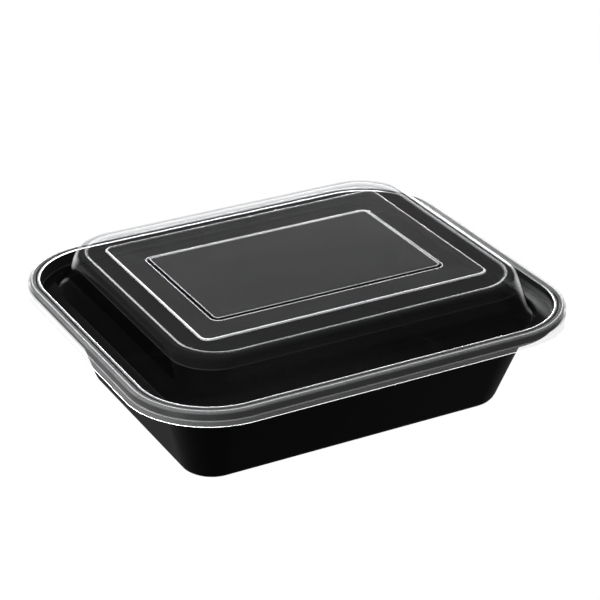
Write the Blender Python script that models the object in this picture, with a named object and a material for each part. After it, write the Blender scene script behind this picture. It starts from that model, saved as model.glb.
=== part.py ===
"""Takeaway meal container: a black moulded tray closed by a clear domed lid.

Units are metres, +Z is up and +X runs along the long side. The origin is the middle of the tray's base.
Both pieces are thin shells, and their rims run parallel to one rounded rectangle, the rim's inner bead.
"""
import bpy
import bmesh
import math

MM = 0.001

# Rim outline: half sizes and corner radius at the inner bead of the rim, and that bead's height
RIM_HALF_X = 104.0 * MM
RIM_HALF_Y = 87.7 * MM
RIM_CORNER = 34.4 * MM
RIM_TOP = 53.0 * MM

# Shell thicknesses, and the air left where the lid rests on the tray
LID_WALL = 0.5 * MM
TRAY_WALL = 0.7 * MM
FIT_GAP = 0.3 * MM

# Lid rim: the skirt's free edge, its fold, the outer side wall and the groove behind the inner bead
SKIRT_OUT = 7.0 * MM
SKIRT_DROP = 6.2 * MM
FOLD_OUT = 5.5 * MM
FOLD_DROP = 4.1 * MM
SIDE_OUT = 5.4 * MM
SIDE_ROUND = 1.1 * MM
GROOVE_OUT = 1.9 * MM
GROOVE_WIDTH = 0.6 * MM
GROOVE_DEPTH = 0.4 * MM
GROOVE_SLOPE = 0.4 * MM
BEAD_ROUND = 0.3 * MM

# Lid moat: the plug wall that drops inside the rim, and the shelf that climbs to the dome's foot
PLUG_DRAFT = 0.5 * MM
MOAT_DROP = 6.4 * MM
MOAT_ROUND = 0.5 * MM
FOOT_IN = 8.1 * MM
FOOT_DROP = 4.2 * MM

# Dome: flare, wall, shoulder, the crest round its top and the band inside the crest, as distances in from
# the rim outline and heights over the rim
FLARE_IN = 13.9 * MM
FLARE_RISE = -0.4 * MM
WALL_IN = 15.9 * MM
WALL_RISE = 12.5 * MM
SHOULDER_IN = 17.4 * MM
SHOULDER_RISE = 14.1 * MM
CREST_IN = 20.4 * MM
CREST_RISE = 14.3 * MM
BAND_IN = 21.6 * MM
BAND_RISE = 13.8 * MM

# The dome's corners are cones: tighter than the rim's at the flare and wider at the shoulder, by these
FLARE_TIGHTER = 5.4 * MM
SHOULDER_WIDER = 6.3 * MM

# Top panel, which steps up from the band, sinks a little and then steps up again to its flat middle
PANEL_HALF_X = 73.4 * MM
PANEL_HALF_Y = 54.2 * MM
PANEL_CORNER = 4.6 * MM
PANEL_BEVEL = 0.4 * MM
PANEL_FOOT_RISE = 14.0 * MM
PANEL_EDGE_RISE = 14.8 * MM
STEP_HALF_X = 59.3 * MM
STEP_HALF_Y = 36.4 * MM
STEP_CORNER = 3.4 * MM
STEP_WIDTH = 1.9 * MM
STEP_FOOT_RISE = 13.2 * MM
MIDDLE_RISE = 13.75 * MM

# Tray: base and wall-top half sizes of the outer face, their corner radii and the base's rounding
BASE_HALF_X = 81.1 * MM
BASE_HALF_Y = 60.5 * MM
BASE_CORNER = 15.0 * MM
BASE_ROUND = 6.2 * MM
WALL_HALF_X = 96.0 * MM
WALL_HALF_Y = 79.6 * MM
WALL_CORNER = 26.0 * MM
WALL_HEIGHT = 49.9 * MM
BASE_ARC_STEPS = 5

# Tray rim: how far down the turned-over hem reaches from the lid's rim, and its rounding
HEM_DROP = 3.7 * MM
HEM_ROUND = 0.8 * MM

# Facets in each rounded corner, seen from above, and in the small rounds of the profile
CORNER_STEPS = 9
ROUND_STEPS = 3
BEAD_STEPS = 2
DOME_STEPS = 5
SHARP_ANGLE = math.radians(32)


def clear_scene():
    """Empties the file that the script runs in."""
    for old in list(bpy.data.objects):
        bpy.data.objects.remove(old, do_unlink=True)


def plastic(name, colour, roughness, transmission=0.0):
    """A plain plastic material."""
    material = bpy.data.materials.new(name)
    material.use_nodes = True
    shader = material.node_tree.nodes["Principled BSDF"]
    shader.inputs["Base Color"].default_value = (*colour, 1.0)
    shader.inputs["Roughness"].default_value = roughness
    shader.inputs["Metallic"].default_value = 0.0
    shader.inputs["Transmission Weight"].default_value = transmission
    return material


def rounded_outline(half_x, half_y, corner, z):
    """The corners of a rounded rectangle at height z, counter-clockwise from above."""
    points = []
    centres = ((1, 1), (-1, 1), (-1, -1), (1, -1))
    for quarter, (side_x, side_y) in enumerate(centres):
        middle_x = side_x * (half_x - corner)
        middle_y = side_y * (half_y - corner)
        for step in range(CORNER_STEPS + 1):
            angle = math.radians(90.0 * (quarter + step / CORNER_STEPS))
            points.append((middle_x + corner * math.cos(angle), middle_y + corner * math.sin(angle), z))
    return points


def rim_ring(out, z, wider=0.0):
    """An outline beside the rim, moved out by a distance: parallel to it, or with wider corners."""
    return rounded_outline(RIM_HALF_X + out, RIM_HALF_Y + out, RIM_CORNER + out + wider, z)


def arc(centre_out, centre_z, radius, start, end, steps=ROUND_STEPS):
    """Profile points (out, z) on a round, with angles in degrees from the outward direction."""
    points = []
    for step in range(steps + 1):
        angle = math.radians(start + (end - start) * step / steps)
        points.append((centre_out + radius * math.cos(angle), centre_z + radius * math.sin(angle)))
    return points


def parallel_path(path, distance):
    """The profile that runs beside another at a distance, on its left-hand side, with mitred corners."""
    moved = []
    for index, (out, z) in enumerate(path):
        normals = []
        for first, second in ((index - 1, index), (index, index + 1)):
            if first < 0 or second >= len(path):
                continue
            along_out = path[second][0] - path[first][0]
            along_z = path[second][1] - path[first][1]
            length = math.hypot(along_out, along_z)
            normals.append((-along_z / length, along_out / length))
        normal_out = sum(n[0] for n in normals) / len(normals)
        normal_z = sum(n[1] for n in normals) / len(normals)
        mitre = distance / (normal_out ** 2 + normal_z ** 2)
        moved.append((out + normal_out * mitre, z + normal_z * mitre))
    return moved


def shell_object(name, outlines, material):
    """A closed shell lofted through outlines, the first and last of them filled in."""
    shape = bmesh.new()
    rings = [[shape.verts.new(point) for point in outline] for outline in outlines]
    count = len(rings[0])
    for lower, upper in zip(rings, rings[1:]):
        for index in range(count):
            after = (index + 1) % count
            shape.faces.new((lower[index], lower[after], upper[after], upper[index]))
    shape.faces.new(rings[0])
    shape.faces.new(rings[-1])
    bmesh.ops.recalc_face_normals(shape, faces=shape.faces)
    mesh = bpy.data.meshes.new(name)
    shape.to_mesh(mesh)
    shape.free()
    mesh.shade_smooth()
    mesh.set_sharp_from_angle(angle=SHARP_ANGLE)
    mesh.materials.append(material)
    piece = bpy.data.objects.new(name, mesh)
    bpy.context.collection.objects.link(piece)
    return piece


def tray_wall_ring(z, inward):
    """The tray's tapered wall at height z, moved in by a distance."""
    share = z / WALL_HEIGHT
    half_x = BASE_HALF_X + (WALL_HALF_X - BASE_HALF_X) * share - inward
    half_y = BASE_HALF_Y + (WALL_HALF_Y - BASE_HALF_Y) * share - inward
    corner = BASE_CORNER + (WALL_CORNER - BASE_CORNER) * share - inward
    return rounded_outline(half_x, half_y, corner, z)


def tray_base_rings(inward):
    """The rounded edge between the base and the wall, from the base outwards, on either face."""
    mean_taper = (WALL_HALF_X - BASE_HALF_X + WALL_HALF_Y - BASE_HALF_Y) / (2 * WALL_HEIGHT)
    draft = math.atan(mean_taper)
    radius = BASE_ROUND - inward
    centre_in = BASE_ROUND * math.tan((math.pi / 2 - draft) / 2)
    outlines = []
    for step in range(BASE_ARC_STEPS + 1):
        angle = -math.pi / 2 + (math.pi / 2 - draft) * step / BASE_ARC_STEPS
        inset = centre_in - radius * math.cos(angle)
        z = BASE_ROUND + radius * math.sin(angle)
        outlines.append(rounded_outline(BASE_HALF_X - inset, BASE_HALF_Y - inset, BASE_CORNER - inset, z))
    return outlines


def tray_shell():
    """Outlines of the tray: outer wall, ledge and hem going up, then the inner face going down."""
    ledge_top = RIM_TOP - MOAT_DROP - LID_WALL - FIT_GAP
    flange_top = RIM_TOP - LID_WALL - FIT_GAP
    stand_in = LID_WALL + FIT_GAP
    foot_out = stand_in - PLUG_DRAFT
    hem_out = SIDE_OUT - LID_WALL - FIT_GAP
    hem_low = RIM_TOP - HEM_DROP
    outer = tray_base_rings(0.0)
    outer.append(tray_wall_ring(ledge_top - TRAY_WALL, 0.0))
    outer.append(rim_ring(foot_out + TRAY_WALL, ledge_top - TRAY_WALL))
    outer.append(rim_ring(stand_in + TRAY_WALL, flange_top - TRAY_WALL))
    outer.append(rim_ring(hem_out - TRAY_WALL, flange_top - TRAY_WALL))
    outer.append(rim_ring(hem_out - TRAY_WALL, hem_low))
    outer.append(rim_ring(hem_out, hem_low))
    hem_round = arc(hem_out - HEM_ROUND, flange_top - HEM_ROUND, HEM_ROUND, 0, 90)
    outer.extend(rim_ring(out, z) for out, z in hem_round)
    inner = [rim_ring(stand_in, flange_top)]
    inner.append(rim_ring(foot_out, ledge_top))
    inner.append(tray_wall_ring(ledge_top, TRAY_WALL))
    inner.extend(reversed(tray_base_rings(TRAY_WALL)))
    return outer + inner


def lid_side_path():
    """The lid's upper face from the skirt's free edge up to the flange, as (out, height over rim)."""
    path = [(SKIRT_OUT, -SKIRT_DROP), (FOLD_OUT, -FOLD_DROP)]
    path.extend(arc(SIDE_OUT - SIDE_ROUND, -SIDE_ROUND, SIDE_ROUND, 0, 90))
    return path


def lid_groove_path():
    """The groove along the flange and the round bead inside it."""
    path = [(GROOVE_OUT + GROOVE_SLOPE, 0.0)]
    path.append((GROOVE_OUT, -GROOVE_DEPTH))
    path.append((GROOVE_OUT - GROOVE_WIDTH, -GROOVE_DEPTH))
    path.append((GROOVE_OUT - GROOVE_WIDTH - GROOVE_SLOPE, 0.0))
    path.extend(arc(BEAD_ROUND, -BEAD_ROUND, BEAD_ROUND, 90, 180, BEAD_STEPS))
    return path


def lid_moat_path():
    """The lid's plug wall, the floor of its moat and the shelf that climbs to the dome's foot."""
    turn = arc(-PLUG_DRAFT - MOAT_ROUND, MOAT_ROUND - MOAT_DROP, MOAT_ROUND, 0, -90, BEAD_STEPS)
    return turn + [(-FOOT_IN, -FOOT_DROP)]


def lid_dome_path():
    """The lid's upper face from the dome's flare in to the band inside its crest."""
    path = [(-FLARE_IN, FLARE_RISE)]
    radius_in = SHOULDER_IN - WALL_IN
    radius_up = SHOULDER_RISE - WALL_RISE
    for step in range(DOME_STEPS + 1):
        angle = math.radians(90.0 * step / DOME_STEPS)
        path.append((-SHOULDER_IN + radius_in * math.cos(angle), WALL_RISE + radius_up * math.sin(angle)))
    path.append((-CREST_IN, CREST_RISE))
    path.append((-BAND_IN, BAND_RISE))
    return path


def dome_wider(rise):
    """How much wider the dome's corner is at a height than an outline parallel to the rim."""
    share = min((rise - FLARE_RISE) / (WALL_RISE - FLARE_RISE), 1.0)
    return -FLARE_TIGHTER + (SHOULDER_WIDER + FLARE_TIGHTER) * share


def panel_outline(grow, rise):
    """An outline parallel to the raised panel's edge."""
    return rounded_outline(PANEL_HALF_X + grow, PANEL_HALF_Y + grow, PANEL_CORNER + grow, RIM_TOP + rise)


def step_outline(grow, rise):
    """An outline parallel to the step round the panel's middle."""
    return rounded_outline(STEP_HALF_X + grow, STEP_HALF_Y + grow, STEP_CORNER + grow, RIM_TOP + rise)


def lid_shell():
    """Outlines of the lid: the upper face from the middle out to the skirt, then the under face back."""
    side = lid_side_path()
    groove = lid_groove_path()
    moat = lid_moat_path()
    dome = lid_dome_path()
    dome_corners = [dome_wider(rise) for out, rise in dome]
    upper_path = side + groove + moat + dome
    upper_corners = [0.0] * len(side + groove + moat) + dome_corners
    upper = [rim_ring(out, RIM_TOP + z, wider) for (out, z), wider in zip(upper_path, upper_corners)]
    upper.append(panel_outline(PANEL_BEVEL, PANEL_FOOT_RISE))
    upper.append(panel_outline(-PANEL_BEVEL, PANEL_EDGE_RISE))
    upper.append(step_outline(STEP_WIDTH / 2, STEP_FOOT_RISE))
    upper.append(step_outline(-STEP_WIDTH / 2, MIDDLE_RISE))
    # The under face has one plain corner below the groove and bead
    under_path = parallel_path(side + [(0.0, 0.0)] + moat + dome, LID_WALL)
    under_corners = [0.0] * len(side + [(0.0, 0.0)] + moat) + dome_corners
    under = [rim_ring(out, RIM_TOP + z, wider) for (out, z), wider in zip(under_path, under_corners)]
    under.append(panel_outline(PANEL_BEVEL - LID_WALL / 2, PANEL_FOOT_RISE - LID_WALL))
    under.append(panel_outline(-PANEL_BEVEL - LID_WALL / 2, PANEL_EDGE_RISE - LID_WALL))
    under.append(step_outline(STEP_WIDTH / 2, STEP_FOOT_RISE - LID_WALL))
    under.append(step_outline(-STEP_WIDTH / 2, MIDDLE_RISE - LID_WALL))
    return upper[::-1] + under


def main():
    clear_scene()
    black = plastic("black moulded plastic", (0.012, 0.012, 0.013), 0.32)
    clear = plastic("clear thin plastic", (0.93, 0.94, 0.95), 0.06, transmission=1.0)
    shell_object("tray", tray_shell(), black)
    shell_object("lid", lid_shell(), clear)


main()
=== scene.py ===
# %% [markdown]
# Takeaway meal container.
# An empty black tray, injection moulded in polypropylene, is shut by a clear lid thermoformed from thin
# sheet. This file dresses the two packed solids. It loads them as a fixed frame, makes a finer mesh and a
# finish for each piece, and then sets the floor, the lights and the camera round them.

# %% Load the packed model
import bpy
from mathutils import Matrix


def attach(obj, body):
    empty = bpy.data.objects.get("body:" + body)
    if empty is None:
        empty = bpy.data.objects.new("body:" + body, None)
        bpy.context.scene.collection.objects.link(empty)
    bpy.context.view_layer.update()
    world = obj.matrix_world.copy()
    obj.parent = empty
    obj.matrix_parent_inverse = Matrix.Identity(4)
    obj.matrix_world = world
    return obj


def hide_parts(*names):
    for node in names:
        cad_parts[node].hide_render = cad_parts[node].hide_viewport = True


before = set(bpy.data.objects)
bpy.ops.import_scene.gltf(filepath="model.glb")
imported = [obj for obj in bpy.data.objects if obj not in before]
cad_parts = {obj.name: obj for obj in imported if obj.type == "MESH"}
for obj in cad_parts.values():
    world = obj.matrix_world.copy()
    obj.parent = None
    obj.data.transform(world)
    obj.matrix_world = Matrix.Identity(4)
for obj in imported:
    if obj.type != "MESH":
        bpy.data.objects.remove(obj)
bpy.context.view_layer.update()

import math
from collections import namedtuple

import bmesh
import bpy
import numpy as np
from mathutils import Vector

MM = 0.001


print("packed nodes:", sorted(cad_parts))

# %% [markdown]
# Sizes.
# Both pieces are thin shells, and everything about their rims runs parallel to one rounded rectangle: the
# bead along the inner edge of the rim. A form is then a short list of outlines, each one a rounded
# rectangle at a height. Writing an outline as four numbers in a numpy row (half length, half width, corner
# radius, height) means that a point between two outlines is plain arithmetic.

# %% Name the rim and write outlines as rows
RIM_HALF_X = 104.0 * MM
RIM_HALF_Y = 87.7 * MM
RIM_CORNER = 34.4 * MM
RIM_TOP = 53.0 * MM
LID_WALL = 0.5 * MM
TRAY_WALL = 0.7 * MM
FIT_GAP = 0.3 * MM


def rim(out, rise, wider=0.0):
    """The outline of the rim's bead moved out and up by millimetres, its corners wider if asked."""
    return np.array((
        RIM_HALF_X + out * MM,
        RIM_HALF_Y + out * MM,
        RIM_CORNER + (out + wider) * MM,
        RIM_TOP + rise * MM,
    ))


print("rim outline in mm:", rim(0, 0) / MM)

# %% [markdown]
# Rounded edges.
# Moulded plastic has no sharp edges, and on glossy plastic the thin bright lines are what the eye reads as
# the form: each one is a small round that finds a light. So every outline is paired with how far its edge
# is softened, in millimetres, and the softening adds a short run of outlines on a curve through it. A Bevel
# modifier could do it afterwards, but one width has to suit the whole mesh there, and here the edges run
# from 0.15 mm to almost 5 mm. Clear sheet also turns milky where it is cut or bent sharply, and on the lid
# the same white paints light: a painted highlight along the bright rounds and a painted sheen on the flats.
# So each edge says how milky and painted bright it is, from 0 to 1, and then the same for the flat next to
# it, on the side of the piece's middle. The tray has none of it.

# %% Soften the edges of a profile
EDGE_STEPS = 5
ALMOST_HALF = 0.48

# The last two fields are the milk and painted highlight on the edge, then the milk and painted sheen on the
# flat.
Edge = namedtuple("Edge", "outline reach milky milky_flat", defaults=(0.0, 0.0))


def towards(here, there, reach):
    """The point on the way from one outline to the next, at most just under halfway there."""
    length = math.hypot(there[0] - here[0], there[3] - here[3])
    return here + (there - here) * min(reach * MM / length, ALMOST_HALF)


def softened(profile):
    """Each edge of a profile turned into a curve, as (outline, milk and painted light) pairs."""
    rows = [(profile[0].outline, profile[0].milky_flat)]
    for before, this, after in zip(profile, profile[1:], profile[2:]):
        start = towards(this.outline, before.outline, this.reach)
        end = towards(this.outline, after.outline, this.reach)
        milk_and_highlight_steps = [this.milky_flat] + [this.milky] * (EDGE_STEPS - 1) + [after.milky_flat]
        for step, milky in enumerate(milk_and_highlight_steps):
            share = step / EDGE_STEPS
            point = (1 - share) ** 2 * start + 2 * share * (1 - share) * this.outline + share ** 2 * end
            rows.append((point, milky))
    rows.append((profile[-1].outline, profile[-1].milky_flat))
    return rows


print("outlines on one softened edge:", EDGE_STEPS + 1)

# %% [markdown]
# From outlines to a shell.
# A loft through closed outlines gives quads that run round the piece, which is how such a form would be
# drawn by hand too. Smooth shading then averages the normals where a tiny round meets a wide flat face, and
# the flat face would look bent near its edge. The Weighted Normal modifier lets the larger face decide, so
# flats stay flat and rounds stay round. The milkiness, with the painted highlights and painted sheen in it,
# goes along as a value on each vertex, which a material can read.

# %% Loft a closed shell
CORNER_STEPS = 28
QUARTERS = ((1, 1), (-1, 1), (-1, -1), (1, -1))
MOST_WEIGHT = 100


def outline_points(row):
    """The points of a rounded rectangle, counter-clockwise from above."""
    half_x, half_y, corner, z = row
    points = []
    for quarter, (side_x, side_y) in enumerate(QUARTERS):
        for step in range(CORNER_STEPS + 1):
            angle = math.radians(90.0 * (quarter + step / CORNER_STEPS))
            x = side_x * (half_x - corner) + corner * math.cos(angle)
            y = side_y * (half_y - corner) + corner * math.sin(angle)
            points.append((x, y, z))
    return points


def fill_ring(shape, ring):
    """Fills a flat outline with rungs from its back half to its front half, like a ladder."""
    for index in range(len(ring) // 2 - 1):
        shape.faces.new((ring[index], ring[index + 1], ring[-index - 2], ring[-index - 1]))


def loft(rows):
    """A closed bmesh through outlines, its first and last outline filled in."""
    shape = bmesh.new()
    milk = shape.verts.layers.float.new("milk")
    rings = []
    for row, milky in rows:
        ring = [shape.verts.new(point) for point in outline_points(row)]
        for corner in ring:
            corner[milk] = milky
        rings.append(ring)
    count = len(rings[0])
    for lower, upper in zip(rings, rings[1:]):
        for index in range(count):
            after = (index + 1) % count
            shape.faces.new((lower[index], lower[after], upper[after], upper[index]))
    fill_ring(shape, rings[0])
    fill_ring(shape, rings[-1])
    bmesh.ops.recalc_face_normals(shape, faces=shape.faces)
    return shape


def shell(name, rows, material):
    """A lofted piece with its finish, smooth but for its flats."""
    shape = loft(rows)
    mesh = bpy.data.meshes.new(name)
    shape.to_mesh(mesh)
    shape.free()
    mesh.shade_smooth()
    mesh.materials.append(material)
    piece = bpy.data.objects.new(name, mesh)
    bpy.context.collection.objects.link(piece)
    weighted = piece.modifiers.new("larger faces decide", "WEIGHTED_NORMAL")
    weighted.mode = "FACE_AREA"
    weighted.weight = MOST_WEIGHT
    print(name, "has", len(rows), "outlines and", len(mesh.polygons), "faces")
    return piece


print("points on one outline:", len(outline_points(rim(0, 0))))

# %% [markdown]
# The tray.
# It is the plain half: a flat base with a large round, walls that lean out so that trays nest, a ledge that
# the lid's plug sits on, and a rim whose outer edge turns down as a hem to keep it stiff. The outer face is
# drawn from the base up to the hem, and the inner face comes back down 0.7 mm inside it. Both ends of the
# profile lie flat in the base, a little way in from its round, where the loft is filled.

# %% Draw the tray's two faces
BASE = np.array((81.1, 60.5, 15.0, 0.0)) * MM
WALL_TOP = np.array((96.0, 79.6, 26.0, 49.9)) * MM
BASE_REACH = 4.6
FILL_INSET = 9.0 * MM
MOAT_DROP = 6.4
SIDE_OUT = 5.4
HEM_DROP = 3.7
PLUG_DRAFT = 0.5


def moved_in(row, distance):
    """An outline moved in by a distance at the same height."""
    return row - np.array((distance, distance, distance, 0.0))


def tray_wall(z, inward):
    """The tapered wall at a height, moved in by a distance."""
    return moved_in(BASE + (WALL_TOP - BASE) * z / WALL_TOP[3], inward)


def tray_profile():
    """The tray's edges, from under its base round to its inside."""
    wall = TRAY_WALL / MM
    clear = (LID_WALL + FIT_GAP) / MM
    ledge = -MOAT_DROP - clear
    ledge_low = RIM_TOP + (ledge - wall) * MM
    ledge_high = RIM_TOP + ledge * MM
    hem = SIDE_OUT - clear
    inner_base = tray_wall(TRAY_WALL, TRAY_WALL)
    outside = [
        Edge(moved_in(BASE, FILL_INSET), 0),
        Edge(tray_wall(0.0, 0.0), BASE_REACH),
        Edge(tray_wall(ledge_low, 0.0), 0.8),
        Edge(rim(clear - PLUG_DRAFT + wall, ledge - wall), 0.5),
        Edge(rim(clear + wall, -clear - wall), 0.25),
        Edge(rim(hem - wall, -clear - wall), 0.25),
        Edge(rim(hem - wall, -HEM_DROP), 0.2),
        Edge(rim(hem, -HEM_DROP), 0.2),
        Edge(rim(hem, -clear), 0.8),
    ]
    inside = [
        Edge(rim(clear, -clear), 0.4),
        Edge(rim(clear - PLUG_DRAFT, ledge), 0.5),
        Edge(tray_wall(ledge_high, TRAY_WALL), 0.7),
        Edge(inner_base, BASE_REACH),
        Edge(moved_in(inner_base, FILL_INSET), 0),
    ]
    return outside + inside


print("tray edges before softening:", len(tray_profile()))

# %% [markdown]
# The lid.
# From its free edge inwards the sheet makes a skirt, a fold, the outer side of the rim, a flange with a
# groove in it, the bead, a plug wall that drops inside the tray, a moat, and then the dome with its
# shoulder, the crest round its top, a band, and a panel that steps up, sinks a little and steps up again to
# its middle. The dome's corners are cones: tighter than the rim's at the foot and wider at the shoulder,
# which is why its outlines carry a value of their own for that. Each edge below gives its outline, how far it
# is softened, how milky and painted bright it is, and how milky and painted bright the flat beside it is:
# the bright lines on the bead, the crest and the steps are painted highlights, and the greys of the panel
# and the bands are painted sheen.

# %% Draw the lid's upper face
SHOULDER_WIDER = 6.3
FOOT_TIGHTER = 5.4
PANEL = np.array((73.4, 54.2, 4.6, 0.0)) * MM
STEP = np.array((59.3, 36.4, 3.4, 0.0)) * MM
STEP_FOOT_RISE = 13.2
MIDDLE_RISE = 13.75
DOME_FOOT = rim(-13.9, -0.4, -FOOT_TIGHTER)
SHOULDER = rim(-16.1, 14.1, SHOULDER_WIDER)


def beside(base, grow, rise):
    """An outline parallel to the panel or the step on it, grown by millimetres, at a rise over the rim."""
    return base + np.array((grow * MM, grow * MM, grow * MM, RIM_TOP + rise * MM))


def dome_wall(rise):
    """The dome's wall at a rise over the rim."""
    share = (RIM_TOP + rise * MM - DOME_FOOT[3]) / (SHOULDER[3] - DOME_FOOT[3])
    return DOME_FOOT + (SHOULDER - DOME_FOOT) * share


# The last two numbers of each edge are milk with painted light: painted highlight lines on rounds, painted
# sheen on flats.
side_edges = [
    Edge(rim(7.0, -6.2), 0.3, 1.0, 0.03),
    Edge(rim(5.5, -4.1), 0.4, 0.08, 0.016),
    Edge(rim(5.35, -0.1), 1.0, 0.04, 0.04),
    Edge(rim(3.7, 0.05), 0.35, 0.15, 0.03),
]
groove_edges = [
    Edge(rim(2.3, 0.0), 0.2, 0.03, 0.02),
    Edge(rim(1.9, -0.4), 0.2, 0.0, 0.0),
    Edge(rim(1.3, -0.4), 0.2, 0.0, 0.02),
    Edge(rim(0.9, 0.0), 0.25, 0.07, 0.045),
]
bead_edge = Edge(rim(0.0, 0.0), 0.4, 1.0, 0.002)
moat_edges = [
    Edge(rim(-0.5, -MOAT_DROP), 0.6, 0.005, 0.0003),
    Edge(rim(-8.1, -4.2), 1.2, 0.0, 0.0),
]
dome_edges = [
    Edge(DOME_FOOT, 4.0, 0.0, 0.0),
    # This outline lies on the straight wall and only carries a painted light line round it at mid height.
    Edge(dome_wall(9.0), 0.3, 0.006, 0.0015),
    Edge(SHOULDER, 2.0, 0.002, 0.004),
    Edge(rim(-19.7, 14.27, SHOULDER_WIDER), 0.15, 0.0, 0.03),
    Edge(rim(-20.4, 14.3, SHOULDER_WIDER), 0.4, 0.09, 0.05),
    Edge(rim(-21.6, 13.8, SHOULDER_WIDER), 0.3, 0.01, 0.004),
]
panel_edges = [
    Edge(beside(PANEL, 0.4, 14.0), 0.2, 0.0, 0.12),
    Edge(beside(PANEL, -0.4, 14.8), 0.3, 0.28, 0.008),
]
step_edges = [
    Edge(beside(STEP, 0.95, STEP_FOOT_RISE), 0.3, 0.16, 0.0),
    Edge(beside(STEP, -0.95, MIDDLE_RISE), 0.3, 0.13, 0.011),
    Edge(beside(STEP, -3.0, MIDDLE_RISE), 0, 0.011, 0.011),
]
inner_edges = [bead_edge] + moat_edges + dome_edges + panel_edges + step_edges
upper_face = side_edges + groove_edges + inner_edges
print("edges on the lid's upper face:", len(upper_face))

# %% [markdown]
# The lid's under face.
# Sheet keeps its thickness when it is drawn over a mould, so the under face is the upper one moved to its
# inner side by half a millimetre. A Solidify modifier would do that as well, but it would also carry the
# groove through, which is shallower than the sheet is thick and hardly shows underneath. So the under face
# is worked out from the main outlines only, with mitred corners.

# %% Move the main outlines to the under side
def under_side(profile, wall):
    """The same profile on the other face of the sheet."""
    rows = [each.outline for each in profile]
    moved = []
    for index, here in enumerate(profile):
        normals = []
        for first, second in ((index - 1, index), (index, index + 1)):
            if first < 0 or second >= len(rows):
                continue
            along = rows[second] - rows[first]
            length = math.hypot(along[0], along[3])
            normals.append((-along[3] / length, along[0] / length))
        out, up = np.mean(normals, axis=0)
        mitre = wall / (out ** 2 + up ** 2)
        moved.append(Edge(here.outline + mitre * np.array((out, out, out, up)), here.reach))
    return moved


def lid_profile():
    """The lid's edges: the upper face from its middle out, then the under face back."""
    return upper_face[::-1] + under_side(side_edges + inner_edges, LID_WALL)


print("lid edges before softening:", len(lid_profile()))

# %% [markdown]
# Shader maths.
# A finish is a small sum: a base value plus a bit of noise, times a mask. Written node by node that takes a
# page, so one class wraps an output socket and gives it plus, minus and times. Any other node comes from
# the node method, which sets the node's own settings first and then its sockets.

# %% Let shader sockets stand in sums
def set_stops(ramp, stops):
    """Gives a colour ramp its stops, as (place, grey) pairs."""
    while len(ramp.elements) < len(stops):
        ramp.elements.new(1.0)
    for element, (place, grey) in zip(ramp.elements, stops):
        element.position = place
        element.color = (grey, grey, grey, 1.0)


class Signal:
    """An output socket that can be added to, taken from or multiplied by numbers and other signals."""

    def __init__(self, tree, socket=None):
        self.tree = tree
        self.socket = socket

    def node(self, kind, settings=None, sockets=None, output=0):
        """A new node in the same tree, as a signal from one of its outputs."""
        made = self.tree.nodes.new(kind)
        for name, value in (settings or {}).items():
            if name == "stops":
                set_stops(made.color_ramp, value)
            else:
                setattr(made, name, value)
        for name, value in (sockets or {}).items():
            if isinstance(value, Signal):
                self.tree.links.new(value.socket, made.inputs[name])
            else:
                made.inputs[name].default_value = value
        return Signal(self.tree, made.outputs[output] if made.outputs else None)

    def maths(self, operation, first, second):
        """A Math node on two numbers or signals."""
        return self.node("ShaderNodeMath", {"operation": operation}, {0: first, 1: second})

    def __add__(self, other):
        return self.maths("ADD", self, other)

    def __sub__(self, other):
        return self.maths("SUBTRACT", self, other)

    def __rsub__(self, other):
        return self.maths("SUBTRACT", other, self)

    def __mul__(self, other):
        return self.maths("MULTIPLY", self, other)

    __radd__ = __add__
    __rmul__ = __mul__


def finish(name):
    """A new material without nodes, and a signal without a socket to make its first nodes from."""
    material = bpy.data.materials.new(name)
    material.use_nodes = True
    material.node_tree.nodes.clear()
    return material, Signal(material.node_tree)


sums = [name.strip("_") for name in vars(Signal) if name.strip("_")[-3:] in ("add", "sub", "mul")]
print("sums that a signal takes:", sums)

# %% [markdown]
# Noise and fades.
# Most of what varies on plastic is one of two things. Noise gives patches of a known size, and the size is
# given in metres, because a grain that is too coarse is what makes a small thing look like a toy. It is used
# as it is or as a factor around 1, which changes a value without changing its average. A fade goes from 0 to
# 1 across a stretch of a value, such as a height, and it is eased at both ends so that no edge shows.

# %% Make noise and fades
def noise(start, place, size, detail, roughness=0.5):
    """Noise between 0 and 1 whose patches are about size metres across."""
    sockets = {"Vector": place, "Scale": 1.0 / size, "Detail": detail, "Roughness": roughness}
    return start.node("ShaderNodeTexNoise", {}, sockets)


def around_one(patches, spread):
    """Noise as a factor that is 1 on average and varies by a spread."""
    return 1 - spread / 2 + spread * patches


def fading(value, span):
    """0 to 1 from the first to the second number of a span, eased at both ends."""
    sockets = {"Value": value, "From Min": span[0], "From Max": span[1]}
    return value.node("ShaderNodeMapRange", {"interpolation_type": "SMOOTHSTEP"}, sockets)


print("noise scale for patches of 1 mm:", 1.0 / MM)

# %% [markdown]
# Black tray plastic.
# The steel mould has a fine blasted grain, about a third of a millimetre, and the tray takes it over: it
# breaks the gloss into a soft sheen. Polypropylene also shrinks a little unevenly, which leaves slow waves
# and patches that are a touch shinier. The grain and the waves go into Bump nodes and the patches into
# Roughness, and the colour barely moves.

# %% Mix the black plastic
TRAY_BLACK = 0.001
TRAY_BLACK_SPREAD = 0.6
TRAY_COOLER = 1.06
TRAY_ROUGHNESS = 0.34
TRAY_ROUGHNESS_SPREAD = 0.10
TRAY_SPECULAR = 0.28
TRAY_IOR = 1.49
MOULD_GRAIN = 0.35 * MM
GRAIN_DEPTH = 0.02 * MM
GRAIN_STRENGTH = 0.5
SHRINK_WAVES = 24 * MM
WAVE_DEPTH = 0.25 * MM
WAVE_STRENGTH = 0.3
SHINY_PATCHES = 9 * MM


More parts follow.
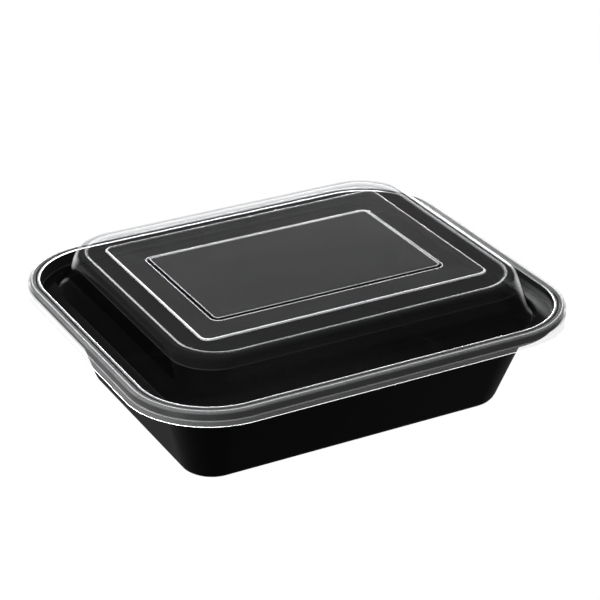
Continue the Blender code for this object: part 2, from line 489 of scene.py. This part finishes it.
def black_plastic():
    """Satin black polypropylene."""
    material, start = finish("satin black polypropylene")
    place = start.node("ShaderNodeTexCoord", output="Object")
    grain = noise(start, place, MOULD_GRAIN, detail=3.0)
    waves = noise(start, place, SHRINK_WAVES, detail=1.0)
    patches = noise(start, place, SHINY_PATCHES, detail=4.0, roughness=0.6)
    grey = TRAY_BLACK * around_one(patches, TRAY_BLACK_SPREAD)
    colour = start.node("ShaderNodeCombineColor", {}, {0: grey, 1: grey, 2: grey * TRAY_COOLER})
    waved = start.node("ShaderNodeBump", {}, {
        "Height": waves, "Distance": WAVE_DEPTH, "Strength": WAVE_STRENGTH})
    bumped = start.node("ShaderNodeBump", {}, {
        "Height": grain, "Distance": GRAIN_DEPTH, "Strength": GRAIN_STRENGTH, "Normal": waved})
    shader = start.node("ShaderNodeBsdfPrincipled", {}, {
        "Base Color": colour,
        "Roughness": TRAY_ROUGHNESS + TRAY_ROUGHNESS_SPREAD * (patches - 0.5),
        "Specular IOR Level": TRAY_SPECULAR,
        "IOR": TRAY_IOR,
        "Normal": bumped,
    })
    start.node("ShaderNodeOutputMaterial", {}, {"Surface": shader})
    return material


tray_plastic = black_plastic()
print(tray_plastic.name, "has", len(tray_plastic.node_tree.nodes), "nodes")

# %% [markdown]
# Painted light at the right end.
# Towards the right end of the long side all the milk is faded, which paints shade there and dims the bead's
# painted highlight; the flange gets a painted light, the moat a painted reflection, and the dome's shoulder
# a white painted highlight. Writing that into the outlines would need a second set of them, so it is done
# here, with fades over the distance along (x), the distance across (y) and the height (z).

# %% Paint shade and light on the lid's right end
RIGHT_END_FROM_X = (88 * MM, 98 * MM)
RIGHT_END_FROM_Y = (-76 * MM, -50 * MM)
RIGHT_END_PAINTED_SHADE = 0.88
FLANGE_FROM_X = (103.5 * MM, 106 * MM)
FLANGE_PAINTED_LIGHT = 0.022
MOAT_FROM_X = (91 * MM, 98 * MM)
MOAT_FROM_Y = (-20 * MM, -55 * MM)
MOAT_BELOW = (50.5 * MM, 48.5 * MM)
MOAT_PAINTED_REFLECTION = 0.022
SHOULDER_FROM_X = (85.5 * MM, 87.3 * MM)
SHOULDER_FROM_Z = (64.8 * MM, 66.6 * MM)
SHOULDER_PAINTED_HIGHLIGHT = 0.4


def painted_light_at_right_end(milk, place):
    """The milkiness of the outlines, with painted shade, light, reflection and highlight at the lid's right
    end.
    """
    x, y, z = [milk.node("ShaderNodeSeparateXYZ", {}, {"Vector": place}, axis) for axis in "XYZ"]
    right_end_mask = fading(x, RIGHT_END_FROM_X) * fading(y, RIGHT_END_FROM_Y)
    flange = FLANGE_PAINTED_LIGHT * right_end_mask * fading(x, FLANGE_FROM_X)
    moat = MOAT_PAINTED_REFLECTION * fading(x, MOAT_FROM_X) * fading(y, MOAT_FROM_Y) * fading(z, MOAT_BELOW)
    shoulder = SHOULDER_PAINTED_HIGHLIGHT * fading(x, SHOULDER_FROM_X) * fading(z, SHOULDER_FROM_Z)
    return milk * (1 - RIGHT_END_PAINTED_SHADE * right_end_mask) + flange + moat + shoulder


print("the bead's milkiness at the right end:", round(bead_edge.milky * (1 - RIGHT_END_PAINTED_SHADE), 2))

# %% [markdown]
# Clear lid plastic.
# The lid is clear sheet half a millimetre thick, glossy on both faces. Sheet that thin doesn't bend what is
# seen through it, so it needs no refraction: each face lets light straight through and mirrors the share
# that plastic does, 4% head on and more and more towards a grazing view. A Mix Shader says just that,
# between Transparent and Glossy, and it is free of the grain that refracted lamps leave in a path tracer.
# The share is worked out from Layer Weight's Facing, which is the same seen from inside the dome as from
# outside, where a Fresnel node would take the inside for the inside of a solid block. The milkiness is a
# share of white, spread light mixed over that, broken up by patches as large as drawn sheet shows, and much
# of that white is painted highlight on the rounds and painted sheen on the flats.

# %% Mix the clear plastic
HEAD_ON = 0.04
GRAZING_POWER = 5.0
LID_ROUGHNESS = 0.008
HAZE_ROUGHNESS = 0.02
PLAIN_WHITE = (1.0, 1.0, 1.0, 1.0)
SHEET_TINT = (0.94, 0.943, 0.945, 1.0)
MILK_AND_HIGHLIGHT_WHITE = (0.9, 0.91, 0.92, 1.0)
DRAWN_WAVES = 30 * MM
DRAWN_DEPTH = 0.1 * MM
DRAWN_STRENGTH = 0.2
HAZE_PATCHES = 14 * MM
MILK_AND_HIGHLIGHT_SPREAD = 0.5


def clear_plastic():
    """Thin clear thermoformed sheet."""
    material, start = finish("clear thermoformed sheet")
    place = start.node("ShaderNodeTexCoord", output="Object")
    drawn = noise(start, place, DRAWN_WAVES, detail=1.0)
    haze = noise(start, place, HAZE_PATCHES, detail=4.0, roughness=0.6)
    waved = start.node("ShaderNodeBump", {}, {
        "Height": drawn, "Distance": DRAWN_DEPTH, "Strength": DRAWN_STRENGTH})
    facing = start.node("ShaderNodeLayerWeight", {}, {"Blend": 0.5, "Normal": waved}, output="Facing")
    mirrored = HEAD_ON + (1 - HEAD_ON) * facing.maths("POWER", facing, GRAZING_POWER)
    gloss = start.node("ShaderNodeBsdfGlossy", {}, {
        "Color": PLAIN_WHITE, "Roughness": LID_ROUGHNESS + HAZE_ROUGHNESS * haze, "Normal": waved})
    through = start.node("ShaderNodeBsdfTransparent", {}, {"Color": SHEET_TINT})
    clear = start.node("ShaderNodeMixShader", {}, {0: mirrored, 1: through, 2: gloss})
    # The white mixed in here paints highlight lines and sheen from the vertex values, besides the milk of cut
    # and bent sheet.
    outline_milk_and_light = start.node("ShaderNodeAttribute", {"attribute_name": "milk"}, output="Fac")
    milk = painted_light_at_right_end(outline_milk_and_light, place) * around_one(haze, MILK_AND_HIGHLIGHT_SPREAD)
    white = start.node("ShaderNodeBsdfDiffuse", {}, {"Color": MILK_AND_HIGHLIGHT_WHITE, "Normal": waved})
    milky = start.node("ShaderNodeMixShader", {}, {0: milk, 1: clear, 2: white})
    start.node("ShaderNodeOutputMaterial", {}, {"Surface": milky})
    return material


lid_plastic = clear_plastic()
print(lid_plastic.name, "has", len(lid_plastic.node_tree.nodes), "nodes")

# %% [markdown]
# Both pieces.
# Each loft gets its finish and stands for one packed node, which is hidden and stays behind for collision.
# Nothing on the container moves on its own, so both ride on the one body. The lid is left out of
# reflections, its own too: its bright lines, mirrored in its own walls, would only be grain.

# %% Make both pieces and hand them to the frame
tray = shell("black_tray", softened(tray_profile()), tray_plastic)
lid = shell("clear_lid", softened(lid_profile()), lid_plastic)
for piece, node in ((tray, "tray"), (lid, "lid")):
    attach(piece, "root")
    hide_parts(node)
lid.visible_glossy = False

# %% [markdown]
# Floor.
# The container stands on a light table, a sheet of white plastic lit from below, which is how a see-through
# thing is photographed without a shadow. A white floor lit from above would carry one, and the lamps here
# would make it too bright to see clear sheet against. Gloss doesn't mirror the table, because a white floor
# in the tray's walls would make them grey, and the milky edges with their painted highlights aren't lit by
# it, because that would be grainy. It lies just under the base, so that no two faces share a height.

# %% Lay the floor
FLOOR_HALF = 12.0
FLOOR_DROP = 0.2 * MM
FLOOR_SQUARES = 4
TABLE_GLOW = 1.0
TABLE_GREY = (0.004, 0.004, 0.004, 1.0)
TABLE_ROUGHNESS = 0.9
TABLE_SPECULAR = 0.1
CLOUDS = 4 * MM
CLOUD_SHARE = 0.01


def lit_sheet():
    """White plastic sheet, lit almost evenly from below."""
    material, start = finish("lit white sheet")
    place = start.node("ShaderNodeTexCoord", output="Object")
    glow = 1.0 - CLOUD_SHARE * noise(start, place, CLOUDS, detail=3.0)
    colour = start.node("ShaderNodeCombineColor", {}, {0: glow, 1: glow, 2: glow})
    shader = start.node("ShaderNodeBsdfPrincipled", {}, {
        "Base Color": TABLE_GREY,
        "Roughness": TABLE_ROUGHNESS,
        "Specular IOR Level": TABLE_SPECULAR,
        "Emission Color": colour,
        "Emission Strength": TABLE_GLOW,
    })
    start.node("ShaderNodeOutputMaterial", {}, {"Surface": shader})
    return material


def light_table():
    """A wide flat square of lit sheet."""
    shape = bmesh.new()
    bmesh.ops.create_grid(shape, x_segments=FLOOR_SQUARES, y_segments=FLOOR_SQUARES, size=FLOOR_HALF)
    mesh = bpy.data.meshes.new("floor")
    shape.to_mesh(mesh)
    shape.free()
    mesh.materials.append(lit_sheet())
    floor = bpy.data.objects.new("floor", mesh)
    floor.location.z = -FLOOR_DROP
    floor.visible_glossy = False
    floor.visible_diffuse = False
    bpy.context.collection.objects.link(floor)
    return floor


floor = light_table()
print("floor:", 2 * FLOOR_HALF, "m square, at", round(floor.location.z / MM, 2), "mm")

# %% [markdown]
# Room.
# Black gloss shows what it mirrors and nothing else, so the room is kept dark but for a low white backdrop
# behind the container and a small glow to its left, which the dome's near corner catches. A few glowing
# planes would do, but their edges would be mirrored too, and a world made of fades has none. The room's
# light is a grey for each height, given as degrees and brightness, so it may go through sums as a number. The
# camera itself sees plain white there.

# %% Light the room
ROOM_STOPS = (
    (-90, 0.02), (-62, 0.03), (-52, 0.09), (-36, 0.15), (-20, 0.07), (-8, 0.03), (0, 0.02), (12, 0.02),
    (26, 0.03), (40, 0.015), (60, 0.03), (90, 0.06))
BACKDROP_AIM = (0.475, 0.88, 0.0)
BACKDROP_EDGE = (0.45, 0.85)
BACKDROP_LOW = (-0.46, -0.30)
BACKDROP_HIGH = (0.24, 0.10)
GLOW_AIM = (-0.93, -0.28, -0.22)
GLOW_EDGE = (0.92, 0.995)
GLOW = 0.25


def squarely(direction, aim):
    """How squarely a direction points along another, from -1 to 1."""
    sockets = {0: direction, 1: aim}
    return direction.node("ShaderNodeVectorMath", {"operation": "DOT_PRODUCT"}, sockets, "Value")


def on_ramp(height):
    """A height between -1 and 1 as a place on a ramp."""
    return 0.5 + 0.5 * height


def room_light(start):
    """How bright the room is in each direction."""
    direction = start.node("ShaderNodeTexCoord", output="Generated")
    height = start.node("ShaderNodeSeparateXYZ", {}, {"Vector": direction}, output="Z")
    stops = [(on_ramp(math.sin(math.radians(degrees))), light) for degrees, light in ROOM_STOPS]
    room = start.node("ShaderNodeValToRGB", {"stops": stops}, {"Fac": on_ramp(height)})
    behind = fading(squarely(direction, BACKDROP_AIM), BACKDROP_EDGE)
    backdrop = behind * fading(height, BACKDROP_LOW) * fading(height, BACKDROP_HIGH)
    return room + backdrop + GLOW * fading(squarely(direction, GLOW_AIM), GLOW_EDGE)


def studio_world():
    """A world with the room's light, and plain white to the camera."""
    world = bpy.data.worlds.new("studio")
    world.use_nodes = True
    world.node_tree.nodes.clear()
    start = Signal(world.node_tree)
    camera_ray = start.node("ShaderNodeLightPath", output="Is Camera Ray")
    seen = start.node("ShaderNodeBackground", {}, {"Color": PLAIN_WHITE, "Strength": 1.0})
    lit = start.node("ShaderNodeBackground", {}, {"Color": room_light(start), "Strength": 1.0})
    both = start.node("ShaderNodeMixShader", {}, {0: camera_ray, 1: lit, 2: seen})
    start.node("ShaderNodeOutputWorld", {}, {"Surface": both})
    return world


bpy.context.scene.world = studio_world()
print("heights in the room with a light of their own:", len(ROOM_STOPS))

# %% [markdown]
# Lamps.
# The milky edges, which carry the painted highlights and sheen, scatter light, so they need lamps, and the
# gloss must not mirror those, or each would show as a white blot. Every lamp is therefore hidden from
# reflections. One hangs overhead, a ring of large ones lights the edges from all sides alike, and three
# small ones stand close to the far, right and left rims, which lights those most.

# %% Hang the lamps
MIDDLE = (0.0, 0.0, 0.0)
OVERHEAD_PLACE = (0.0, 0.0, 1.3)
OVERHEAD_SIZE = (0.9, 0.9)
OVERHEAD_POWER = 20.0
EDGE_LAMPS = (
    ("behind", (0.12, 0.20, 0.13), 5.0),
    ("right", (0.24, 0.08, 0.14), 1.0),
    ("left", (-0.25, -0.02, 0.14), 2.0),
)
EDGE_LAMP_AIM = (0.0, 0.0, 0.05)
EDGE_LAMP_SIZE = (0.30, 0.06)
FILLS = 8
FILL_DISTANCE = 2.2
FILL_ELEVATION = math.radians(35.0)
FILL_SIZE = (1.2, 1.2)
FILL_POWER = 22.0


def soft_lamp(name, place, aim, size, power):
    """A rectangular lamp that gloss doesn't mirror, at a place and turned to a point."""
    lamp = bpy.data.lights.new(name, "AREA")
    lamp.shape = "RECTANGLE"
    lamp.size = size[0]
    lamp.size_y = size[1]
    lamp.energy = power
    holder = bpy.data.objects.new(name, lamp)
    holder.location = place
    holder.rotation_euler = (Vector(aim) - Vector(place)).to_track_quat("-Z", "Y").to_euler()
    holder.visible_glossy = False
    bpy.context.collection.objects.link(holder)
    return holder


soft_lamp("overhead", OVERHEAD_PLACE, MIDDLE, OVERHEAD_SIZE, OVERHEAD_POWER)
for name, place, power in EDGE_LAMPS:
    edge_lamp = soft_lamp(name, place, EDGE_LAMP_AIM, EDGE_LAMP_SIZE, power)
    edge_lamp.visible_camera = False
for number in range(FILLS):
    turn = 2 * math.pi * number / FILLS
    far = FILL_DISTANCE * math.cos(FILL_ELEVATION)
    place = (far * math.cos(turn), far * math.sin(turn), FILL_DISTANCE * math.sin(FILL_ELEVATION))
    soft_lamp("fill_%d" % number, place, MIDDLE, FILL_SIZE, FILL_POWER)
print("lamps:", [thing.name for thing in bpy.data.objects if thing.type == "LIGHT"])

# %% [markdown]
# Camera.
# The photograph was taken with a long lens, from in front of a long side and well to its left, looking down
# by 26 degrees. The camera's angles and its distance from the middle of the rim are what makes every
# outline of the lid and tray fall where it does there. A shift of the lens could place the picture in its
# frame too, but every other view would keep that shift, so the camera is moved sideways and down a little
# instead.

# %% Set the camera
LENS = 130.0
SENSOR_WIDTH = 36.0
CLIP_START = 10 * MM
AZIMUTH = math.radians(-28.38)
ELEVATION = math.radians(26.45)
DISTANCE = 1019.5 * MM
MOVE_RIGHT = 2.83 * MM
MOVE_UP = -5.78 * MM

back = Vector((
    math.sin(AZIMUTH) * math.cos(ELEVATION),
    -math.cos(AZIMUTH) * math.cos(ELEVATION),
    math.sin(ELEVATION),
))
right = Vector((math.cos(AZIMUTH), math.sin(AZIMUTH), 0.0))
up = back.cross(right)
camera_data = bpy.data.cameras.new("camera")
camera_data.lens = LENS
camera_data.sensor_width = SENSOR_WIDTH
camera_data.clip_start = CLIP_START
camera = bpy.data.objects.new("camera", camera_data)
camera.location = Vector((0.0, 0.0, RIM_TOP)) + back * DISTANCE + right * MOVE_RIGHT + up * MOVE_UP
camera.rotation_euler = (-back).to_track_quat("-Z", "Y").to_euler()
bpy.context.collection.objects.link(camera)
bpy.context.scene.camera = camera
bpy.context.scene.view_settings.view_transform = "Standard"
print("camera at", [round(value, 3) for value in camera.location])

# %% [markdown]
# Sizes and end.
# A dressed piece has to stay in the box of the solids that it stands for.
